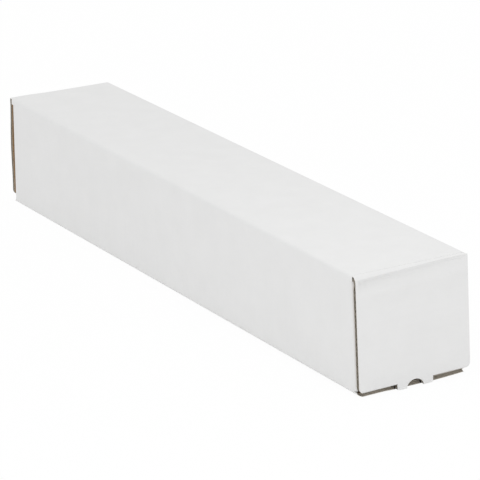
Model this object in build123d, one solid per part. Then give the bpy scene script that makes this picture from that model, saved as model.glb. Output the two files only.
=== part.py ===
from build123d import *
import os

# A mailing tube of square section, folded from one sheet of corrugated board.
# It lies on its bottom wall: +X runs along the tube to the near end, +Z is up,
# and the origin is on the floor under the middle of the tube. All sizes in millimetres.

# Driving dimensions: the sheet
board = 3.0                  # thickness of the corrugated board
inner_fold_radius = 0.5      # inside radius of a long fold

# Driving dimensions: the tube
inner_width = 78.0           # between the two side walls
inner_height = 76.0          # between the bottom and the top wall
wall_length = 513.2          # length of the four walls
bottom_setback = 1.2         # the bottom wall's cut ends stop short of the other walls
notch_depth = 4.0            # notches in the bottom wall's cut ends, behind the tabs
notch_clearance = 0.6        # between a tab and each side of its notch

# Driving dimensions: the dust flaps, folded in from the side walls
mouth_gap = 22.0             # left open between the two dust flaps of one end
dust_top_gap = 1.5           # under the top wall
dust_bottom_gap = 2.2        # over the tuck flap
dust_corner_radius = 6.0     # at the free end

# Driving dimensions: the end flaps, hinged on the top wall
flap_gap = 0.4               # between the ends of the walls and a closed end flap
flap_side_inset = 0.4        # each side of an end flap stops this short of the side wall's face
flap_corner_radius = 4.5     # lower corners
tab_width = 7.4              # the two tabs that hang below the lower fold
tab_foot = 0.4               # clear of the floor under the tabs
tab_corner_radius = 1.5
thumb_radius = 6.0           # half-moon thumb notch between the tabs

# Driving dimensions: the tuck flaps, folded in from the end flaps
tuck_lift = 1.8              # under a tuck flap, over the bottom wall
tuck_length = 22.0
tuck_side_gap = 1.0          # between a tuck flap and each side wall
tuck_fold_gap = 0.3          # between a tuck flap's root and the end flap
tuck_corner_radius = 8.0     # at the free end

# Worked out from the driving dimensions
outer_width = inner_width + 2 * board
outer_height = inner_height + 2 * board
outer_fold_radius = inner_fold_radius + board
wall_end = wall_length / 2
flap_inner = wall_end + flap_gap
flap_width = outer_width - 2 * flap_side_inset
flap_fold_radius = 0.8 * board    # the outside of a tight fold follows the board's thickness
tab_reach = thumb_radius + tab_width
tuck_bottom = board + tuck_lift
tuck_top = tuck_bottom + board
dust_bottom = tuck_top + dust_bottom_gap
dust_top = outer_height - board - dust_top_gap
dust_height = dust_top - dust_bottom
both_ways = (1, -1)


def walls():
    """The four walls as one closed ring with rounded long folds."""
    outside = RectangleRounded(outer_width, outer_height, outer_fold_radius)
    inside = RectangleRounded(inner_width, inner_height, inner_fold_radius)
    ring = Plane.YZ * Pos(0, outer_height / 2) * (outside - inside)
    return extrude(ring, amount=wall_length / 2, both=True)


def bottom_end_cut(end):
    """What is cut from the bottom wall at one end: the setback and a notch behind each tab."""
    setback_at = end * (wall_end - bottom_setback / 2)
    cut = Pos(setback_at, 0, board / 2) * Box(bottom_setback, inner_width, board)
    depth = bottom_setback + notch_depth
    notch_width = tab_width + 2 * notch_clearance
    for side in both_ways:
        notch_at = (end * (wall_end - depth / 2), side * (thumb_radius + tab_width / 2), board / 2)
        cut += Pos(*notch_at) * Box(depth, notch_width, board)
    return cut


def dust_flap(end, side):
    """A dust flap across the end of one side wall, its free corners rounded."""
    reach = (outer_width - mouth_gap) / 2 - outer_fold_radius
    outline = Rectangle(reach, dust_height)
    outline = fillet(outline.vertices().group_by(Axis.X)[0], dust_corner_radius)
    outline = Pos(mouth_gap / 2 + reach / 2, dust_bottom + dust_height / 2) * outline
    flap = extrude(Plane.YZ.offset(wall_end - board) * outline, amount=board)
    return turned(flap, end, side)


def dust_fold_cut(end, side):
    """The sharp corner that the fold between a side wall and its dust flap rounds off."""
    corner = Rectangle(outer_fold_radius, outer_fold_radius, align=(Align.MAX, Align.MAX))
    corner -= Pos(-outer_fold_radius, -outer_fold_radius) * Circle(outer_fold_radius)
    corner = Pos(wall_end, outer_width / 2, dust_bottom) * corner
    return turned(extrude(corner, amount=dust_height), end, side)


def dust_fold(end, side):
    """The rounded stretch of board that joins a side wall to its dust flap."""
    turn = Circle(outer_fold_radius) - Circle(inner_fold_radius)
    turn &= Rectangle(outer_fold_radius, outer_fold_radius, align=(Align.MIN, Align.MIN))
    turn = Pos(wall_end - outer_fold_radius, outer_width / 2 - outer_fold_radius, dust_bottom) * turn
    return turned(extrude(turn, amount=dust_height), end, side)


def turned(shape, end, side):
    """A shape made for the near end and the +Y side, mirrored to the end and side that are asked for."""
    if end < 0:
        shape = mirror(shape, about=Plane.YZ)
    if side < 0:
        shape = mirror(shape, about=Plane.XZ)
    return shape


def tube_body():
    """The folded tube: four walls and four dust flaps of one sheet."""
    tube = walls()
    for end in both_ways:
        tube -= bottom_end_cut(end)
        for side in both_ways:
            tube -= dust_fold_cut(end, side)
            tube += dust_fold(end, side)
            tube += dust_flap(end, side)
    return tube


def end_flap():
    """The near end flap: a panel rounded at its two folds, its tabs and the thumb notch."""
    height = outer_height - tuck_bottom
    middle = tuck_bottom + height / 2
    front = Plane.YZ.offset(flap_inner)
    outline = Rectangle(flap_width, height)
    outline = fillet(outline.vertices().group_by(Axis.Y)[0], flap_corner_radius)
    panel = extrude(front * Pos(0, middle) * outline, amount=board)

    section = Rectangle(board, height)
    section = fillet(section.vertices().group_by(Axis.X)[-1], flap_fold_radius)
    section = Plane.XZ * Pos(flap_inner + board / 2, middle) * section
    panel &= extrude(section, amount=flap_width, both=True)

    tab_height = tuck_bottom + board - tab_foot
    tabs = Rectangle(2 * tab_reach, tab_height)
    tabs = fillet(tabs.vertices().group_by(Axis.Y)[0], tab_corner_radius)
    tabs = extrude(front * Pos(0, tab_foot + tab_height / 2) * tabs, amount=board)
    thumb_notch = extrude(front * Pos(0, tab_foot) * Circle(thumb_radius), amount=board)
    return panel + tabs - thumb_notch


def tuck_flap():
    """The near tuck flap, cut away at its root where the tabs were cut out of it."""
    width = inner_width - 2 * tuck_side_gap
    root = flap_inner - tuck_fold_gap
    outline = Rectangle(tuck_length, width)
    outline = fillet(outline.vertices().group_by(Axis.X)[0], tuck_corner_radius)
    outline = Pos(root - tuck_length / 2, 0) * outline
    tab_length = tuck_bottom - tab_foot
    outline -= Pos(root - tab_length / 2, 0) * Rectangle(tab_length, 2 * tab_reach)
    return extrude(Pos(0, 0, tuck_bottom) * outline, amount=board)


near_end_flap = end_flap()
near_tuck_flap = tuck_flap()
pieces = {
    "tube_body": tube_body(),
    "near_end_flap": near_end_flap,
    "near_tuck_flap": near_tuck_flap,
    "far_end_flap": mirror(near_end_flap, about=Plane.YZ),
    "far_tuck_flap": mirror(near_tuck_flap, about=Plane.YZ),
}

os.makedirs("parts", exist_ok=True)
for name, piece in pieces.items():
    export_step(piece, os.path.join("parts", name + ".step"))
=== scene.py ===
from functools import lru_cache, partial
from math import cos, pi, radians, sin, sqrt

import bmesh
import bpy
from mathutils import Matrix, Vector


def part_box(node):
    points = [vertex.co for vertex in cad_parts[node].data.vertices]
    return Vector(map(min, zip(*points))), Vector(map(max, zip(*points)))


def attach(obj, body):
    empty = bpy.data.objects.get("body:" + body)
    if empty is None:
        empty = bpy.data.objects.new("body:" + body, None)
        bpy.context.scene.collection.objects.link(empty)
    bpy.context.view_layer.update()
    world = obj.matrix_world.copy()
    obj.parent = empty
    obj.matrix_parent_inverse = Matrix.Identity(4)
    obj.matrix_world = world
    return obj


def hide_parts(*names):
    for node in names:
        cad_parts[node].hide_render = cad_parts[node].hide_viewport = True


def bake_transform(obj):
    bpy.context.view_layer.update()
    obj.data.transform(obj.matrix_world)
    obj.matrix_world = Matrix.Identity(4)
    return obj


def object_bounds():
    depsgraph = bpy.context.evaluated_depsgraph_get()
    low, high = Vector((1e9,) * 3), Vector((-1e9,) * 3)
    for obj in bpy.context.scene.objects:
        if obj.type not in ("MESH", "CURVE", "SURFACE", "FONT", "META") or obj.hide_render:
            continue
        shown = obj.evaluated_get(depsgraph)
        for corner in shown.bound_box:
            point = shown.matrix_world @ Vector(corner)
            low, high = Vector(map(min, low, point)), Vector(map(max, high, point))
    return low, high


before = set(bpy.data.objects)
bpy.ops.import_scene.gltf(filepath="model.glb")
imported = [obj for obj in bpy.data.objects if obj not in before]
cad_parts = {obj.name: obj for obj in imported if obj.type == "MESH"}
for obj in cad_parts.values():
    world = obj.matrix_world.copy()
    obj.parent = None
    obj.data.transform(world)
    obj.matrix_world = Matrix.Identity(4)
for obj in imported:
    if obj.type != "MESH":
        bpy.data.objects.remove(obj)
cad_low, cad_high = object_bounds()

# The walls: one sheet of corrugated board, scored along four lines, folded into a square ring and glued.
# White paper covers the outside and brown kraft paper the inside. Fluted paper runs round the ring
# between them, so a cut across the ring shows it edge on, and a cut along the ring shows the waves.
mm = 0.001
tube_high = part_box("tube_body")[1]
flap_low, flap_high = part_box("near_end_flap")
wall_end = tube_high.x
half_width = tube_high.y
height = tube_high.z
flap_half = flap_high.y
board = flap_high.x - flap_low.x
liner = 0.26 * mm               # thickness of each flat paper
fluting = 0.2 * mm              # thickness of the fluted paper
flute = 6.35 * mm               # from one wave to the next
glued = 0.02 * mm               # how far a wave sinks into the glue
washboard = 0.03 * mm           # how far a flat paper dips between two waves
wave_step = flute / 14
bottom_past = 0.8 * mm          # the bottom wall's cut ends stand out past the other walls
bottom_end = wall_end + bottom_past
WHITE, KRAFT, FLUTED, CUT = range(4)


def crest(along):
    """1 where the fluted paper touches the outer liner, -1 where it touches the inner one."""
    return cos(2 * pi * (abs(along) - bottom_end) / flute)


def outer_face(along):
    """The depth of the board's white face, which dips a little between the waves."""
    return washboard * (1 - crest(along)) / 2


def outer_back(along):
    return outer_face(along) + liner


def wave_upper(along):
    """The depth of the fluted paper's outer face."""
    swing = board / 2 - liner - fluting / 2 + glued
    return board / 2 - swing * crest(along) - fluting / 2


def wave_under(along):
    return wave_upper(along) + fluting


def inner_face(along):
    """The depth of the board's kraft face, which dips in the same way."""
    return board - washboard * (1 + crest(along)) / 2


def inner_back(along):
    return inner_face(along) - liner


class Value:
    """A shader socket that Python operators work on: each one adds a Math node."""

    def __init__(self, finish, socket):
        self.finish = finish
        self.socket = socket

    def math(self, operation, first, second):
        return self.finish.node("ShaderNodeMath", {"operation": operation}, {0: first, 1: second})

    def __add__(self, other):
        return self.math("ADD", self, other)

    def __sub__(self, other):
        return self.math("SUBTRACT", self, other)

    def __rsub__(self, other):
        return self.math("SUBTRACT", other, self)

    def __mul__(self, other):
        return self.math("MULTIPLY", self, other)

    def __gt__(self, other):
        return self.math("GREATER_THAN", self, other)

    def __lt__(self, other):
        return self.math("LESS_THAN", self, other)

    def __abs__(self):
        return self.math("ABSOLUTE", self, 0)

    __radd__ = __add__
    __rmul__ = __mul__


class Finish:
    """A material that is put together node by node."""

    def __init__(self, name):
        self.material = bpy.data.materials.new(name)
        self.material.use_nodes = True
        self.tree = self.material.node_tree
        self.tree.nodes.clear()

    def node(self, kind, settings=None, sockets=None, output=0):
        """Adds a node: its settings first, then each socket's value or link."""
        made = self.tree.nodes.new(kind)
        for name, setting in (settings or {}).items():
            setattr(made, name, setting)
        for name, value in (sockets or {}).items():
            if isinstance(value, Value):
                self.tree.links.new(value.socket, made.inputs[name])
            else:
                made.inputs[name].default_value = value
        return Value(self, made.outputs[output]) if len(made.outputs) else None

    def noise(self, place, scale, detail, stretch=(1, 1, 1)):
        """A cloud of soft noise, from 0 to 1, with features of about a metre over scale."""
        stretched = self.node("ShaderNodeVectorMath", {"operation": "MULTIPLY"}, {0: place, 1: stretch})
        return self.node("ShaderNodeTexNoise", {}, {"Vector": stretched, "Scale": scale, "Detail": detail})

    def mix(self, share, first, second):
        """One colour turning into another."""
        return self.node("ShaderNodeMix", {"data_type": "RGBA"}, {0: share, 6: first, 7: second}, 2)

    def paper(self, colour, roughness, relief, depth):
        """Ends the material as matte paper with a fine relief of a depth."""
        gloss = 0.25
        bump = self.node("ShaderNodeBump", {}, {"Height": relief, "Distance": depth})
        sockets = {"Base Color": colour, "Roughness": roughness, "Normal": bump, "Specular IOR Level": gloss}
        surface = self.node("ShaderNodeBsdfPrincipled", {}, sockets)
        self.node("ShaderNodeOutputMaterial", {}, {"Surface": surface})
        return self.material


def white_paper():
    """Bleached liner: matte white, a little cloudy, with fine fibres and a rare brown speck."""
    dull_white = (0.79, 0.79, 0.787, 1)
    clear_white = (0.84, 0.84, 0.838, 1)
    fibre_grey = (0.745, 0.745, 0.74, 1)
    speck_brown = (0.45, 0.36, 0.26, 1)
    fibre_strength = 0.3
    speck_strength = 0.3
    speck_radius = 0.035        # of the cell that holds the speck
    bare_share = 0.93           # of the cells, which hold none
    paper = Finish("white_liner_paper")
    place = paper.node("ShaderNodeTexCoord", output="Object")
    cloud = paper.noise(place, scale=60, detail=4)
    fibre = paper.noise(place, scale=1400, detail=3, stretch=(0.35, 1, 1))
    cells = {"Vector": place, "Scale": 110}
    away = paper.node("ShaderNodeTexVoronoi", {}, cells, "Distance")
    pick = paper.node("ShaderNodeTexVoronoi", {}, cells, "Color")
    rare = paper.node("ShaderNodeSeparateColor", {}, {"Color": pick}) > bare_share
    speck = rare * (away < speck_radius)
    body = paper.mix(cloud, dull_white, clear_white)
    fibrous = paper.mix(fibre * fibre_strength, body, fibre_grey)
    colour = paper.mix(speck * speck_strength, fibrous, speck_brown)
    return paper.paper(colour, roughness=0.72 + fibre * 0.16, relief=fibre + cloud * 0.6, depth=0.02 * mm)


def kraft_paper():
    """Unbleached liner: warm brown, streaked with darker and paler fibres."""
    deep_brown = (0.33, 0.205, 0.105, 1)
    warm_brown = (0.46, 0.305, 0.165, 1)
    fibre_brown = (0.27, 0.16, 0.08, 1)
    fleck_brown = (0.58, 0.42, 0.26, 1)
    fibre_strength = 0.55
    fleck_strength = 0.25
    fleck_level = 0.66          # of the noise, above which it is a fleck
    paper = Finish("kraft_liner_paper")
    place = paper.node("ShaderNodeTexCoord", output="Object")
    cloud = paper.noise(place, scale=75, detail=4)
    fibre = paper.noise(place, scale=900, detail=4, stretch=(0.25, 1, 1))
    fleck = paper.noise(place, scale=420, detail=2, stretch=(0.3, 1, 1)) > fleck_level
    body = paper.mix(cloud, deep_brown, warm_brown)
    fibrous = paper.mix(fibre * fibre_strength, body, fibre_brown)
    colour = paper.mix(fleck * fleck_strength, fibrous, fleck_brown)
    return paper.paper(colour, roughness=0.74 + fibre * 0.16, relief=fibre + cloud * 0.5, depth=0.03 * mm)


def fluted_paper():
    """Recycled paper of the flutes: dark grey-brown, with a coarse and uneven fibre."""
    dark_grey = (0.34, 0.31, 0.26, 1)
    pale_grey = (0.46, 0.42, 0.36, 1)
    fibre_dark = (0.22, 0.185, 0.145, 1)
    fibre_strength = 0.5
    paper = Finish("fluted_paper")
    place = paper.node("ShaderNodeTexCoord", output="Object")
    cloud = paper.noise(place, scale=140, detail=3)
    fibre = paper.noise(place, scale=1800, detail=4)
    body = paper.mix(cloud, dark_grey, pale_grey)
    colour = paper.mix(fibre * fibre_strength, body, fibre_dark)
    return paper.paper(colour, roughness=0.8 + fibre * 0.15, relief=fibre, depth=0.06 * mm)


def cut_paper():
    """The cut edges of all the papers: paler than their faces, with fibres torn out by the knife."""
    dull_cut = (0.54, 0.5, 0.43, 1)
    clear_cut = (0.68, 0.635, 0.56, 1)
    fibre_shade = (0.34, 0.295, 0.24, 1)
    fibre_strength = 0.5
    paper = Finish("cut_paper")
    place = paper.node("ShaderNodeTexCoord", output="Object")
    cloud = paper.noise(place, scale=160, detail=3)
    fibre = paper.noise(place, scale=2200, detail=4)
    body = paper.mix(cloud, dull_cut, clear_cut)
    colour = paper.mix(fibre * fibre_strength, body, fibre_shade)
    return paper.paper(colour, roughness=0.82 + fibre * 0.14, relief=fibre, depth=0.08 * mm)


finishes = [white_paper(), kraft_paper(), fluted_paper(), cut_paper()]

ring_radius = 2 * mm            # outside of a long fold
fold_keep = 0.62                # share of its thickness that the board keeps at a long fold
fold_spread = 4 * mm            # how far beside a long fold the board is crushed
quarter = ring_radius * pi / 2
flat_width = 2 * (half_width - ring_radius)
flat_height = height - 2 * ring_radius
notch_inner = 5.4 * mm          # a notch in the bottom wall's cut end, from the middle of the tube
notch_outer = 14 * mm
notch_depth = 7 * mm
notch_end = bottom_end - notch_depth
tongue_past = 0.3 * mm          # the tongue between two notches stands out less than the rest
tongue_end = wall_end + tongue_past
dust_high = 77.5 * mm           # upper side of the dust flaps, which go on from the side walls
dust_radius = 3.5 * mm
dust_start = wall_end - dust_radius
back_corner_cut = 5 * mm        # the lower back corners are cut back
back_corner_end = wall_end - back_corner_cut
back_relief = half_width - ring_radius - fold_spread / 2
layers_length = 14 * mm         # the walls have all three papers this far in from their ends
layers_start = wall_end - layers_length
bow = 0.35 * mm                 # how far a wall bows out in its middle, fading and changing along the tube
bow_fade = 90 * mm
bow_change = 0.4
bow_along = 43 * mm
bow_around = 60 * mm

# Lengths round the ring, from the middle of the bottom wall over the front wall, the top and the back.
bottom_half = flat_width / 2
side_start = bottom_half + quarter
side_end = side_start + flat_height
top_start = side_end + quarter
top_end = top_start + flat_width
back_start = top_end + quarter
girth = 2 * top_start + flat_width


def folded_line(start, heading, runs, radius):
    """Straight runs joined by quarter turns to the right.

    It is called with a length along the line, and gives the point there and the way to the right.
    """

    @lru_cache(maxsize=None)
    def at(length):
        point = Vector(start)
        angle = heading
        for run in runs[:-1]:
            ahead = Vector((cos(angle), sin(angle)))
            right = Vector((sin(angle), -cos(angle)))
            if length <= run:
                return point + ahead * length, right
            centre = point + ahead * run + right * radius
            turn = min((length - run) / radius, pi / 2)
            right = Vector((sin(angle - turn), -cos(angle - turn)))
            if turn < pi / 2:
                return centre - right * radius, right
            point = centre - right * radius
            length -= run + radius * pi / 2
            angle -= pi / 2
        return point + Vector((cos(angle), sin(angle))) * length, Vector((sin(angle), -cos(angle)))

    return at


ring_runs = (bottom_half, flat_height, flat_width, flat_height, bottom_half)
on_ring = folded_line((0, 0), pi, ring_runs, ring_radius)


def smooth(share):
    """A share from 0 to 1 that starts and stops gently."""
    share = min(max(share, 0), 1)
    return share * share * (3 - 2 * share)


@lru_cache(maxsize=None)
def crown(around):
    """The share of its bow that a wall has: all in its middle, none at a fold or in the bottom wall."""
    bowed = ((side_start, flat_height), (top_start, flat_width), (back_start, flat_height))
    for start, length in bowed:
        share = (around - start) / length
        if 0 < share < 1:
            return 4 * share * (1 - share)
    return 0


@lru_cache(maxsize=None)
def crushed(around):
    """How much of its thickness the board keeps at a place on the ring: least at a long fold."""
    folds = ((bottom_half, side_start), (side_end, top_start))
    half = min(around, girth - around)
    away = min(max(start - half, half - stop, 0) for start, stop in folds)
    return fold_keep + (1 - fold_keep) * smooth(away / fold_spread)


def wall_place(along, around, depth):
    """A place in the board of the ring, whose walls bow out a little and unevenly."""
    point, inward = on_ring(around)
    share = min(max((layers_start - abs(along)) / bow_fade, 0), 1)
    uneven = 1 + bow_change * sin(along / bow_along + around / bow_around)
    bulge = bow * share * uneven * crown(around)
    y, z = point + inward * (depth * crushed(around) - bulge)
    return Vector((along, y, z))


def wall_reach(along, around):
    """How far from the middle of the tube the sheet runs, at the end that along is nearest to."""
    y, z = on_ring(around)[0]
    in_lower_fold = z < ring_radius - glued
    on_side_wall = side_start < min(around, girth - around) < side_end
    if y > back_relief and in_lower_fold:
        return back_corner_end
    if z < glued and abs(y) < notch_outer:
        return tongue_end if abs(y) < notch_inner else notch_end
    if in_lower_fold:
        far_slant = (bottom_end - dust_start) * z / ring_radius
        return bottom_end if along > 0 else bottom_end - far_slant
    return dust_start if on_side_wall and z < dust_high else wall_end


def wall_here(along, around):
    return abs(along) < wall_reach(along, around % girth)


def wall_goes_on(along, around):
    """Whether an end flap goes on from the top wall, or a dust flap from a side wall."""
    y, z = on_ring(around % girth)[0]
    on_top = z > height - ring_radius and abs(y) < flap_half
    on_side = wall_reach(along, around % girth) == dust_start and abs(along) < dust_start + wave_step
    return on_top or on_side


lean_near = -0.014              # the ring leans to the front at the near end and to the back at the far end
lean_far = 0.028
sag = 1.6 * mm                  # how far the bottom wall's folds lie above its middle, at the near end


def racked(place):
    """Where any place of the tube comes to when the ring leans out of square."""
    share = (wall_end - place.x) / (2 * wall_end)
    lean = lean_near + (lean_far - lean_near) * share
    return place + Vector((0, lean * (place.z - height / 2), 0))


def lifted(place):
    """Where a place of the walls comes to when the bottom wall sags between its two folds."""
    share = (wall_end + place.x) / (2 * wall_end)
    return place + Vector((0, 0, sag * share * (place.y / half_width) ** 2 * (1 - place.z / height)))


fold_foot = 3.9 * mm            # underside of a tuck flap's fold in its middle
askew = 0.02                    # how steeply that fold runs down to the front, at the near end
hold_clear = 0.06 * mm          # between that fold and the bottom wall under it
hold_slope = 0.24               # how steeply the bottom wall comes up again behind the fold
hold_past = 1 * mm              # how far into the lower long folds the bottom wall is held
hold_edge = 3 * mm              # over which the hold begins there
hold_fade = 10 * mm             # above the board, where the side walls are no longer pulled along


def settled(place):
    """Where a place of the walls comes to: lifted, and held down where a tuck flap's fold lies low on it."""
    base = lifted(Vector((place.x, place.y, 0))).z
    room = fold_foot + askew * place.y - hold_clear + hold_slope * (bottom_end - place.x) - base
    held = max(board - room, 0) * smooth((bottom_half + hold_past - abs(place.y)) / hold_edge)
    return lifted(place) - Vector((0, 0, held * (1 - smooth((place.z - board) / hold_fade))))


weld = 0.002 * mm               # points of the mesh that lie closer are one
sharp_edge = radians(38)        # faces that meet at more than this show an edge


def halfway(values, k):
    """The middle of a step in a list of values, also of a step before or after the list."""
    near = min(max(k, 0), len(values) - 2)
    return (values[near] + values[near + 1]) / 2 + (k - near) * (values[near + 1] - values[near])


class Board:
    """Corrugated board on a grid: its rows lie along the flutes, and each row has as many points."""

    def __init__(self, columns, place, here, goes_on):
        self.columns = columns      # the points of a row
        self.place = place          # where a row, a column and a depth under the outer face lie
        self.here = here            # whether this board covers a row and a column
        self.goes_on = goes_on      # whether the next piece of the sheet covers them
        self.mesh = bmesh.new()

    def middle(self, rows, i, j):
        """The row and the column in the middle of a cell, also of one next to the grid."""
        inside = min(max(i, 0), len(rows) - 2)
        points = self.columns(halfway(rows, inside))
        return halfway(rows, i), halfway(points, j)

    def cells(self, rows):
        """The cells of the grid that this board covers."""
        count = len(self.columns(rows[0])) - 1
        for i in range(len(rows) - 1):
            for j in range(count):
                if self.here(*self.middle(rows, i, j)):
                    yield i, j

    def face(self, rows, depth, finish, outward):
        """One face of a paper, at a depth under the outer face of the board."""
        grid = []
        for row in rows:
            points = [self.place(row, column, depth(row)) for column in self.columns(row)]
            grid.append([self.mesh.verts.new(point) for point in points])
        for i, j in self.cells(rows):
            corners = [grid[i][j], grid[i + 1][j], grid[i + 1][j + 1], grid[i][j + 1]]
            self.mesh.faces.new(corners if outward else corners[::-1]).material_index = finish

    def edge(self, rows, upper, under):
        """The cut edges of a paper that lies between two depths."""
        for i, j in self.cells(rows):
            corners = ((i, j), (i + 1, j), (i + 1, j + 1), (i, j + 1))
            beyond = ((i, j - 1), (i + 1, j), (i, j + 1), (i - 1, j))
            for start, stop, cell in zip(corners, corners[1:] + corners[:1], beyond):
                place = self.middle(rows, *cell)
                if self.here(*place) or self.goes_on(*place) or self.shut(rows, cell):
                    continue
                points = []
                for (at, k), depth in ((start, upper), (start, under), (stop, under), (stop, upper)):
                    row = rows[at]
                    points.append(self.place(row, self.columns(row)[k], depth(row)))
                self.mesh.faces.new([self.mesh.verts.new(point) for point in points]).material_index = CUT

    def shut(self, rows, cell):
        """Whether a cell of the grid has no width, as where two sides of the board meet again."""
        i, j = cell
        if not 0 <= i < len(rows) - 1:
            return False
        widths = []
        for row in rows[i:i + 2]:
            points = self.columns(row)
            if not 0 <= j < len(points) - 1:
                return False
            widths.append(points[j + 1] - points[j])
        return max(widths) < glued

    def corrugate(self, rows):
        """The three papers of the board with their cut edges."""
        papers = (
            (outer_face, outer_back, WHITE, FLUTED),
            (wave_upper, wave_under, FLUTED, FLUTED),
            (inner_back, inner_face, FLUTED, KRAFT),
        )
        for upper, under, upper_finish, under_finish in papers:
            self.face(rows, upper, upper_finish, True)
            self.face(rows, under, under_finish, False)
            self.edge(rows, upper, under)

    def piece(self, name, along=1, across=1, settles=lambda place: place):
        """The board as an object, mirrored to the far end or the other side of the tube where asked."""
        mesh = self.mesh.copy()
        bmesh.ops.transform(mesh, matrix=Matrix.Diagonal((along, across, 1, 1)), verts=mesh.verts)
        for point in mesh.verts:
            point.co = racked(settles(point.co))
        bmesh.ops.remove_doubles(mesh, verts=mesh.verts, dist=weld)
        loose = [point for point in mesh.verts if not point.link_faces]
        bmesh.ops.delete(mesh, geom=loose, context="VERTS")
        if along * across < 0:
            bmesh.ops.reverse_faces(mesh, faces=mesh.faces)
        data = bpy.data.meshes.new(name)
        mesh.to_mesh(data)
        mesh.free()
        for finish in finishes:
            data.materials.append(finish)
        data.shade_smooth()
        data.set_sharp_from_angle(angle=sharp_edge)
        made = bpy.data.objects.new(name, data)
        bpy.context.collection.objects.link(made)
        return made


def lines(step, *stops):
    """Values that run through all the stops, in even steps of about one size."""
    round_up = 0.4
    values = [stops[0]]
    for start, stop in zip(stops, stops[1:]):
        count = max(1, round(abs(stop - start) / step + round_up))
        values += [start + (stop - start) * k / count for k in range(1, count + 1)]
    return values


wall_step = 10 * mm
crush_step = fold_spread / 2
fold_step = quarter / 5
half_ring = [0]
for step, *stops in (
    (wall_step, notch_inner, notch_outer, bottom_half - fold_spread),
    (crush_step, bottom_half),
    (fold_step, side_start),
    (crush_step, side_start + fold_spread),
    (wall_step, side_end - fold_spread),
    (crush_step, side_start + dust_high - ring_radius, side_end),
    (fold_step, top_start),
    (crush_step, top_start + fold_spread),
    (wall_step, top_start + flat_width / 2),
):
    half_ring += lines(step, half_ring[-1], *stops)[1:]
ring_columns = half_ring + [girth - around for around in reversed(half_ring[:-1])]
walls = Board(lambda along: ring_columns, wall_place, wall_here, wall_goes_on)
plain_step = flute / 5
plain_rows = lines(plain_step, -layers_start, layers_start)
walls.face(plain_rows, outer_face, WHITE, True)
walls.face(plain_rows, inner_face, KRAFT, False)
end_stops = (layers_start, notch_end, back_corner_end, dust_start, wall_end, tongue_end, bottom_end)
end_rows = lines(wave_step, *end_stops)
walls.corrugate(end_rows)
walls.corrugate([-along for along in reversed(end_rows)])
tube_walls = walls.piece("tube_walls", settles=settled)
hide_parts("tube_body")
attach(tube_walls, "tube")

# The dust flaps: four flaps of the same sheet, one on each end of the two side walls.
# They turn in over a score line before the end flap shuts, and their free corners are cut round.
ends = (("near", 1), ("far", -1))
sides = (("back", 1), ("front", -1))
mouth = 11 * mm                 # from the middle of the tube to a flap's free end
dust_low = 10 * mm
dust_corner = 6 * mm
dust_quarter = dust_radius * pi / 2
dust_length = dust_quarter + half_width - dust_radius - mouth
dust_lean = 0.04                # how steeply a flap turns in past square
foot_start = 0.55               # shares of the fold, over which the flap's lower side rises
foot_rise = 0.5
dent = 1.8 * mm                 # how far the end flap's crease presses the top of a flap in
dent_low = 40 * mm              # height at which the dent begins
dent_rise = 32 * mm
dent_reach = 5 * mm
dust_strips = 18
corner_steps = 14
on_dust = folded_line((dust_start, half_width), 0, (0, dust_length), dust_radius)


def corner_loss(left, radius):
    """How far a round corner stands back from the sides at a distance left to the end."""
    share = min(max(1 - left / radius, 0), 1)
    return radius * (1 - sqrt(1 - share * share))


def corner_lines(length, radius):
    """Lines across the last stretch of a board, close together where its round corners end."""
    return [length - radius * (1 - sin(pi / 2 * k / corner_steps)) for k in range(corner_steps + 1)]


def spread(start, stop, count):
    """Values in a number of even steps from a start towards a stop, without the stop."""
    return [start + (stop - start) * k / count for k in range(count)]


def dust_foot(along):
    """The lower side of a dust flap: it rises from the lower long fold to clear the tuck flap."""
    return ring_radius + (dust_low - ring_radius) * smooth((along / dust_quarter - foot_start) / foot_rise)


def dust_columns(along):
    loss = corner_loss(dust_length - along, dust_corner)
    top = dust_high - loss
    return spread(dust_foot(along) + loss, top, dust_strips) + [top]


def dust_place(along, up, depth):
    """The flap turns in a little past square, and the end flap's crease presses its top in further."""
    point, inward = on_dust(along)
    x, y = point + inward * depth
    turned_in = dust_lean * max(along - dust_quarter, 0)
    dented = dent * smooth((up - dent_low) / dent_rise) * smooth((along - dust_quarter / 2) / dent_reach)
    return Vector((x - turned_in - dented, y, up))


def dust_here(along, up):
    return 0 < along < dust_length and dust_foot(along) < up < dust_high


def before_fold(along, across):
    """Whether a place lies before a flap's first row, on the board that the flap goes on from."""
    return along < 0


dust_rows = lines(wave_step, 0, dust_quarter, dust_length - dust_corner)[:-1]
dust_rows += corner_lines(dust_length, dust_corner)
dust_board = Board(dust_columns, dust_place, dust_here, before_fold)
dust_board.corrugate(dust_rows)
for end_name, along in ends:
    for side_name, across in sides:
        dust_flap = dust_board.piece(f"{end_name}_{side_name}_dust_flap", along, across, lifted)
        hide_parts("tube_body")
        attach(dust_flap, "tube")

# The end flaps: each goes on from the top wall and hangs down over the end. A blunt score line leaves a
# rounded lip at its top, then a band that is pressed in as far as a crease, which runs askew.
# Two tabs were cut free of the lower fold, with a half-moon between them for a fingertip.
flap_face = flap_high.x
tab_foot = 0.1 * mm             # from the floor to the tabs
tab_edge = 13.4 * mm            # outer side of a tab, from the middle of the tube
tab_corner = 1.5 * mm
thumb_half = 6.2 * mm           # the half-moon's half width and height
thumb_rise = 5.1 * mm
lower_joint = 11 * mm           # height at which the tuck flap's board goes on from the end flap's
roll_length = 4.2 * mm          # of the lip, along the sheet
lip_drop = 1.2 * mm             # how far the lip's foot lies below the top wall
lip_slant = 0.04                # how much less it drops for each unit across
lip_least = 0.2 * mm
lip_start = 1.2 * mm            # along the sheet, where the lip's fold begins
lip_keep = 0.6                  # share of its thickness that the board keeps in the lip and the band
turn_length = 7.2 * mm          # over which the sheet comes to hang upright
band_length = 3.1 * mm          # from the lip's foot to the crease
band_slant = 0.0435
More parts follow.
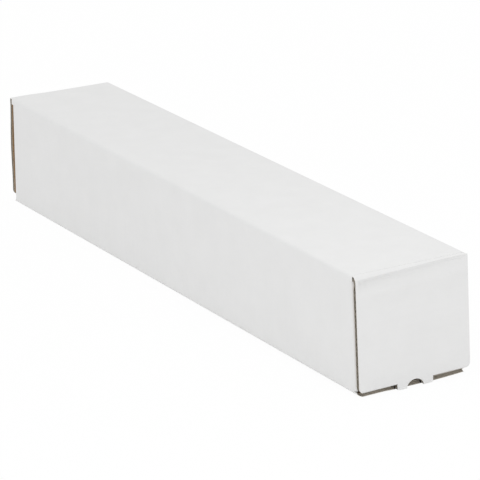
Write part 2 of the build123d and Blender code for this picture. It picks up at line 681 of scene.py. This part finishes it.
recess_middle = 2.2 * mm        # how far the crease is pressed in
recess_slant = 0.03
recess_edge = 6 * mm
return_reach = 9 * mm           # below the crease, where the flap comes back to its face
round_reach = 7 * mm            # below the top, where the long folds' round corners end
askew_reach = 30 * mm           # below the crease, where the flap comes to hang as its lower fold does
press_before = 1.2 * mm         # a score line crushes the board from this far before its fold
press_in = 1.3 * mm
press_out = 4.5 * mm
bulges = {"near": 0, "far": 1.3 * mm}    # how far a flap stands out in its middle
side_strips = 6
panel_strips = 8
tab_strips = 5
thumb_steps = 16
tab_steps = 7
fold_row = 0.3 * mm             # from row to row at the top fold
crease_row = roll_length + band_length
flap_length = crease_row + height - lip_drop - band_length - tab_foot


def flap_height(along):
    """How high a row of the flap hangs when it is shut."""
    return tab_foot + flap_length - along


def flap_row(up):
    """The row of the flap that hangs at a height."""
    return tab_foot + flap_length - up


def thumb_edge(up):
    """Half the width of the half-moon at a height."""
    rise = (up - tab_foot) / thumb_rise
    return thumb_half * sqrt(1 - rise * rise) if rise < 1 else 0


def tab_side(up):
    """The outer side of a tab at a height."""
    return tab_edge - corner_loss(up - tab_foot, tab_corner)


def flap_columns(along):
    up = flap_height(along)
    tab = tab_side(up)
    thumb = thumb_edge(up)
    side = spread(flap_half, bottom_half, side_strips) + spread(bottom_half, tab, panel_strips)
    side += spread(tab, thumb, tab_strips) + [thumb]
    return [-y for y in side] + side[::-1]


def pressed(along, start, stop, left):
    """How much of its thickness the board keeps near a tight fold, where the score line crushed it."""
    into = smooth((along - start + press_before) / press_in)
    out = smooth((stop + press_out - along) / press_out)
    return 1 - (1 - left) * min(into, out)


def flap_place(along, across, depth, bulge):
    """The sheet rolls over the lip, is pressed in down to the crease, and hangs straight below it."""
    lip = max(lip_drop - lip_slant * across, lip_least)
    band = band_length + lip_drop - band_slant * across - lip
    recess = (recess_middle - recess_slant * across) * smooth((flap_half - abs(across)) / recess_edge)
    roll = min(along / roll_length, 1)
    into = min(max((along - roll_length) / band_length, 0), 1)
    below = max(along - crease_row, 0)
    x = wall_end + roll * (flap_face - wall_end) - recess * into * (1 - smooth(below / return_reach))
    x += bulge * sin(pi * min(below / (flap_row(lower_joint) - crease_row), 1)) ** 2
    evened = (lip + band - lip_drop - band_length + askew * across) * smooth(below / askew_reach)
    z = height - roll * roll * lip - into * band - below + evened
    turn = pi / 2 * smooth(along / turn_length)
    beside = min(max(abs(across) - bottom_half, 0), ring_radius)
    rounded = (ring_radius - sqrt(ring_radius ** 2 - beside ** 2)) * (1 - smooth(along / round_reach))
    inset = rounded + depth * pressed(along, lip_start, crease_row, lip_keep)
    return Vector((x - inset * sin(turn), across, z - inset * cos(turn)))


def flap_here(along, across):
    up = flap_height(along)
    if along < 0 or up < tab_foot or abs(across) > flap_half:
        return False
    if abs(across) > tab_side(up):
        return up > lower_joint
    return abs(across) > thumb_edge(up)


def flap_goes_on(along, across):
    """Whether the top wall or the tuck flap's board goes on from the flap."""
    return along < 0 or (tab_edge < abs(across) < flap_half and flap_height(along) < lower_joint)


flap_rows = lines(fold_row, 0, roll_length, crease_row, crease_row + return_reach / 2)
flap_rows += lines(wave_step, flap_rows[-1], flap_row(lower_joint), flap_row(tab_foot + thumb_rise))[1:]
thumb_ups = [tab_foot + thumb_rise * sin(pi / 2 * k / thumb_steps) for k in range(thumb_steps)]
tab_ups = [tab_foot + tab_corner * (1 - sin(pi / 2 * k / tab_steps)) for k in range(tab_steps)]
flap_rows += sorted(flap_row(up) for up in set(thumb_ups + tab_ups))
for end_name, along in ends:
    end_place = partial(flap_place, bulge=bulges[end_name])
    end_board = Board(flap_columns, end_place, flap_here, flap_goes_on)
    end_board.corrugate(flap_rows)
    end_panel = end_board.piece(f"{end_name}_end_panel", along, along)
    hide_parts(f"{end_name}_end_flap")
    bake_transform(end_panel)

# The tuck flaps: each goes on from the end flap over a second score line, which crushes the board to a
# tight fold, and slides in over the bottom wall. Its corners are cut round, and its root is cut away
# where the tabs were cut out.
tuck_low, tuck_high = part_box("near_tuck_flap")
tuck_face = tuck_low.z
tuck_tip = tuck_low.x
tuck_half = tuck_high.y
root_cut = tuck_high.x - tuck_face
lower_corner = 4 * mm           # the end flap's lower corners, which end at the fold
flare_reach = 4 * mm            # behind the fold, where the flap widens to its own side
fold_radius = 1.3 * mm
tuck_keep = 0.38                # share of its thickness that the board keeps at the fold
rise_reach = 9 * mm             # behind the fold, where the flap rises to lie level
tuck_corner = 8 * mm
side_tuck_strips = 9
root_strips = 4
fold_quarter = fold_radius * pi / 2
tuck_fold_step = fold_quarter / 8
tuck_run = lower_joint - fold_foot - fold_radius
tuck_fold_end = tuck_run + fold_quarter
tuck_length = tuck_fold_end + flap_face - fold_radius - tuck_tip
on_tuck = folded_line((flap_face, lower_joint), -pi / 2, (tuck_run, tuck_length), fold_radius)


def tuck_side(along):
    """Half the width of the board: the end flap's round corner down to the fold, then the flap's own side."""
    if along < tuck_fold_end:
        up = on_tuck(along)[0].y
        return flap_half - corner_loss(max(up - fold_foot, 0), lower_corner)
    narrow = flap_half - lower_corner
    flared = narrow + (tuck_half - narrow) * smooth((along - tuck_fold_end) / flare_reach)
    return flared - corner_loss(tuck_length - along, tuck_corner)


def tuck_columns(along):
    half = spread(tuck_side(along), tab_edge, side_tuck_strips) + spread(tab_edge, 0, root_strips)
    return [-y for y in half] + [0] + half[::-1]


def tuck_place(along, across, depth):
    """The fold runs askew, as the end flap's lower edge does, and the flap behind it lies level."""
    point, inward = on_tuck(along)
    x, z = point + inward * depth * pressed(along, tuck_run, tuck_fold_end, tuck_keep)
    inside = smooth((along - tuck_fold_end) / rise_reach)
    return Vector((x, across, z + (tuck_face - fold_foot) * inside + askew * across * (1 - inside)))


def tuck_row(x):
    """The row of the flap that lies at a place along the tube."""
    return tuck_fold_end + flap_face - fold_radius - x


def tuck_here(along, across):
    if not 0 < along < tuck_length or abs(across) > tuck_side(along):
        return False
    return abs(across) > tab_edge or along > tuck_row(root_cut)


tuck_rows = lines(wave_step, 0, tuck_run) + lines(tuck_fold_step, tuck_run, tuck_fold_end)[1:]
tuck_rows += lines(wave_step, tuck_fold_end, tuck_row(root_cut), tuck_length - tuck_corner)[1:-1]
tuck_rows += corner_lines(tuck_length, tuck_corner)
tuck_board = Board(tuck_columns, tuck_place, tuck_here, before_fold)
tuck_board.corrugate(tuck_rows)
for end_name, along in ends:
    tuck_panel = tuck_board.piece(f"{end_name}_tuck_panel", along, along)
    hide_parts(f"{end_name}_tuck_flap")
    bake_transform(tuck_panel)

# The studio floor: a wide sheet of matte white under the tube, which takes a faint shadow.
# Seen directly it shows as the white of a page, apart from the strip under the tube's notches,
# which is left in the dark of the tube.
floor_half = 12
floor_drop = 0.1 * mm
floor_white = (0.95, 0.95, 0.95, 1)
page_white = (1, 1, 1, 1)
page_share = 0.96
strip_half = notch_outer + 3 * mm
floor_paint = Finish("white_floor")
direct = floor_paint.node("ShaderNodeLightPath", output="Is Camera Ray")
glossy = floor_paint.node("ShaderNodeLightPath", output="Is Glossy Ray")
through = floor_paint.node("ShaderNodeLightPath", output="Is Transmission Ray")
spot = floor_paint.node("ShaderNodeTexCoord", output="Object")
floor_x = floor_paint.node("ShaderNodeSeparateXYZ", {}, {0: spot}, "X")
floor_y = floor_paint.node("ShaderNodeSeparateXYZ", {}, {0: spot}, "Y")
covered = (abs(floor_x) < wall_end) * (abs(floor_y) < strip_half)
matte = floor_paint.node("ShaderNodeBsdfDiffuse", {}, {"Color": floor_white})
glow = floor_paint.node("ShaderNodeEmission", {}, {"Color": page_white, "Strength": 1})
seen = (direct + glossy + through) * (1 - covered) * page_share
ground = floor_paint.node("ShaderNodeMixShader", {}, {0: seen, 1: matte, 2: glow})
floor_paint.node("ShaderNodeOutputMaterial", {}, {"Surface": ground})
floor_data = bpy.data.meshes.new("studio_floor")
quarters = ((-1, -1), (1, -1), (1, 1), (-1, 1))
floor_corners = [(x * floor_half, y * floor_half, -floor_drop) for x, y in quarters]
floor_data.from_pydata(floor_corners, [], [(0, 1, 2, 3)])
floor_data.materials.append(floor_paint.material)
studio_floor = bpy.data.objects.new("studio_floor", floor_data)
bpy.context.collection.objects.link(studio_floor)

# The light: an even white surround, as in a light tent, which leaves hardly any shadow.
# One large soft lamp stands above the near end and brightens the walls that face it.
surround_strength = 0.945
lamp_size = 0.45
lamp_power = 0.25
lamp_place = Vector((0.38, -0.1, 0.48))
lamp_aim = Vector((0.28, 0, 0.05))
world = bpy.data.worlds.new("white_surround")
world.use_nodes = True
surround = world.node_tree.nodes["Background"]
surround.inputs["Color"].default_value = page_white
surround.inputs["Strength"].default_value = surround_strength
bpy.context.scene.world = world
lamp_data = bpy.data.lights.new("soft_lamp", "AREA")
lamp_data.size = lamp_size
lamp_data.energy = lamp_power
lamp = bpy.data.objects.new("soft_lamp", lamp_data)
lamp.location = lamp_place
lamp.rotation_euler = (lamp_aim - lamp_place).to_track_quat("-Z", "Y").to_euler()
bpy.context.collection.objects.link(lamp)
bpy.context.scene.view_settings.view_transform = "Standard"

# The camera: a long lens about two metres off the near end, a little above the tube and to its front.
# It is turned and shifted so that the tube's corners fall where they do in the photograph.
azimuth = radians(61.85)
elevation = radians(17.9)
tilt = radians(-2.01)
distance = 2125.6 * mm
aim_across = -14.89 * mm
aim_up = 11.55 * mm
sensor_width = 36
focal_length = 225.6
back = Vector((sin(azimuth) * cos(elevation), -cos(azimuth) * cos(elevation), sin(elevation)))
level = Vector((cos(azimuth), sin(azimuth), 0))
upright = back.cross(level)
right = cos(tilt) * level + sin(tilt) * upright
up = cos(tilt) * upright - sin(tilt) * level
centre = (cad_low + cad_high) / 2
camera_place = centre - aim_across * right - aim_up * up + distance * back
camera_turn = Matrix((right, up, back)).transposed().to_4x4()
camera_data = bpy.data.cameras.new("studio_camera")
camera_data.sensor_width = sensor_width
camera_data.lens = focal_length
camera = bpy.data.objects.new("studio_camera", camera_data)
camera.matrix_world = Matrix.Translation(camera_place) @ camera_turn
bpy.context.collection.objects.link(camera)
bpy.context.scene.camera = camera
